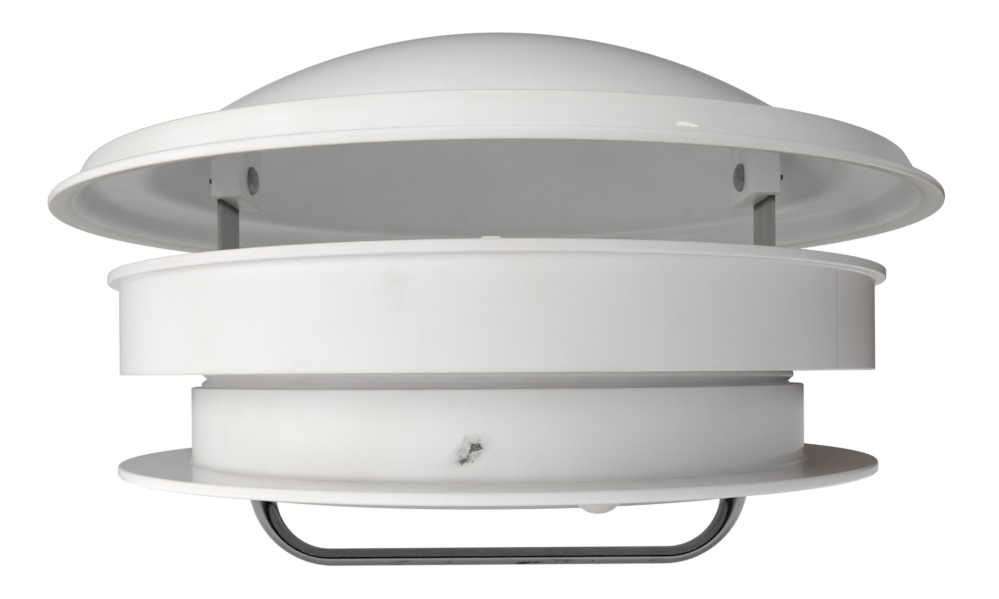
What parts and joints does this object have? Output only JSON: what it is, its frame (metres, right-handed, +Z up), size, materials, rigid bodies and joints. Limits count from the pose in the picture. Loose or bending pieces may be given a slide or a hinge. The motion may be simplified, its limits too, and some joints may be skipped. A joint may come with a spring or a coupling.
{
  "type": "roof vent",
  "caption": "Round mushroom roof vent: a domed lid on sliding straps, raised and lowered by a bow handle, on a threaded collar that a flanged ceiling ring clamps to the roof.",
  "frame": {"origin": "on the vent's axis, level with the roof's outer skin that the collar stands on", "axes": "+Z up along the vent's axis, X across the two straps and along the handle, +Y towards the back"},
  "size_m": [0.2816, 0.2816, 0.1726],
  "materials": {
    "dome_plastic": "glossy white formed sheet",
    "lug_plastic": "satin white block",
    "collar_plastic": "satin white moulding",
    "ring_plastic": "satin white moulding",
    "plug_plastic": "glossy white",
    "strap_steel": "dull rolled steel",
    "rivet_steel": "dull zinc",
    "handle_chrome": "worn chrome plate",
    "screw_steel": "zinc plate",
    "guide_plastic": "matt light grey",
    "spring_steel": "blued spring steel",
    "seal_rubber": "closed-cell foam rubber"
  },
  "bodies": {
    "collar": {"roof_collar": "collar_plastic", "threaded_spigot": "collar_plastic", "lip_seal": "seal_rubber", "left_guide": "guide_plastic", "right_guide": "guide_plastic", "left_spring": "spring_steel", "right_spring": "spring_steel", "left_guide_screws": "screw_steel", "right_guide_screws": "screw_steel"},
    "lid": {"dome_shell": "dome_plastic", "left_lug": "lug_plastic", "right_lug": "lug_plastic", "left_strap": "strap_steel", "right_strap": "strap_steel", "left_rivet": "rivet_steel", "right_rivet": "rivet_steel", "handle": "handle_chrome", "left_handle_screw": "screw_steel", "right_handle_screw": "screw_steel", "left_washer": "screw_steel", "right_washer": "screw_steel"},
    "ring": {"ceiling_ring": "ring_plastic", "ring_plugs": "plug_plastic"}
  },
  "joints": [
    {"name": "lid_lift", "type": "slide", "parent": "collar", "child": "lid", "axis": [0, 0, 1], "range_m": [-0.0285, 0]},
    {"name": "ring_adjust", "type": "slide", "parent": "collar", "child": "ring", "axis": [0, 0, 1], "range_m": [-0.01, 0.022]}
  ]
}
